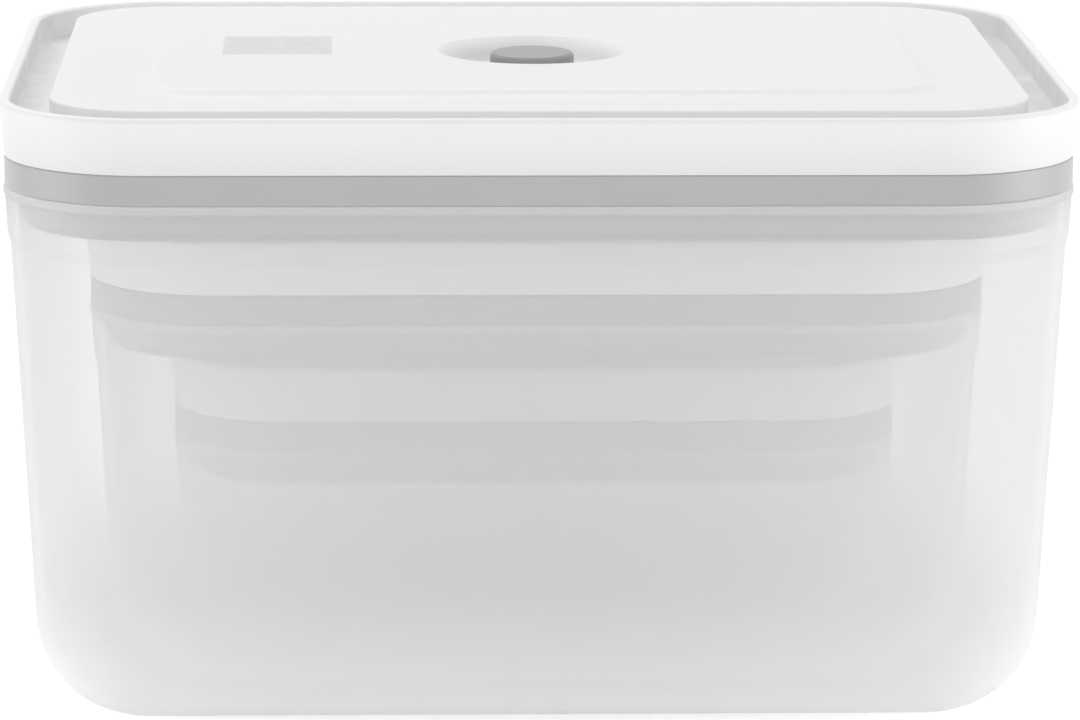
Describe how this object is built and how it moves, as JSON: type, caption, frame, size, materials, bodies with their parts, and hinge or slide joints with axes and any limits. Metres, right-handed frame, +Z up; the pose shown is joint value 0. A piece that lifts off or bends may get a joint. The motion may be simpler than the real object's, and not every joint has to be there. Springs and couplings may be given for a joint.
{
  "type": "vacuum seal canister set",
  "caption": "Nested rectangular vacuum food canisters: milky boxes with white lids, grey gasket rings and a press valve in a dish on each lid.",
  "frame": {"origin": "centre of the large box's foot, on the surface that it stands on", "axes": "+X along the length, +Z up, the front faces -Y"},
  "size_m": [0.2188, 0.1648, 0.1301],
  "materials": {
    "box_plastic": "milky translucent moulding, satin",
    "lid_plastic": "white moulding, slightly translucent where thin",
    "gasket_rubber": "grey silicone, satin",
    "valve_rubber": "grey silicone, satin"
  },
  "bodies": {
    "large_box": {"large_box": "box_plastic"},
    "large_lid": {"large_lid": "lid_plastic", "large_gasket": "gasket_rubber"},
    "large_valve": {"large_valve": "valve_rubber"},
    "medium_box": {"medium_box": "box_plastic"},
    "medium_lid": {"medium_lid": "lid_plastic", "medium_gasket": "gasket_rubber"},
    "medium_valve": {"medium_valve": "valve_rubber"},
    "small_box": {"small_box": "box_plastic"},
    "small_lid": {"small_lid": "lid_plastic", "small_gasket": "gasket_rubber"},
    "small_valve": {"small_valve": "valve_rubber"}
  },
  "joints": [
    {"name": "medium_box_lift", "type": "slide", "parent": "large_box", "child": "medium_box", "axis": [0, 0, 1], "range_m": [0, 0.13]},
    {"name": "small_box_lift", "type": "slide", "parent": "medium_box", "child": "small_box", "axis": [0, 0, 1], "range_m": [0, 0.1]},
    {"name": "small_lid_lift", "type": "slide", "parent": "small_box", "child": "small_lid", "axis": [0, 0, 1], "range_m": [0, 0.06]},
    {"name": "medium_lid_lift", "type": "slide", "parent": "small_lid", "child": "medium_lid", "axis": [0, 0, 1], "range_m": [0, 0.06]},
    {"name": "large_lid_lift", "type": "slide", "parent": "medium_lid", "child": "large_lid", "axis": [0, 0, 1], "range_m": [0, 0.06]},
    {"name": "large_valve_lift", "type": "slide", "parent": "large_lid", "child": "large_valve", "axis": [0, 0, 1], "range_m": [0, 0.002], "stiffness_N_per_m": 250},
    {"name": "medium_valve_lift", "type": "slide", "parent": "medium_lid", "child": "medium_valve", "axis": [0, 0, 1], "range_m": [0, 0.002], "stiffness_N_per_m": 250},
    {"name": "small_valve_lift", "type": "slide", "parent": "small_lid", "child": "small_valve", "axis": [0, 0, 1], "range_m": [0, 0.002], "stiffness_N_per_m": 250}
  ]
}
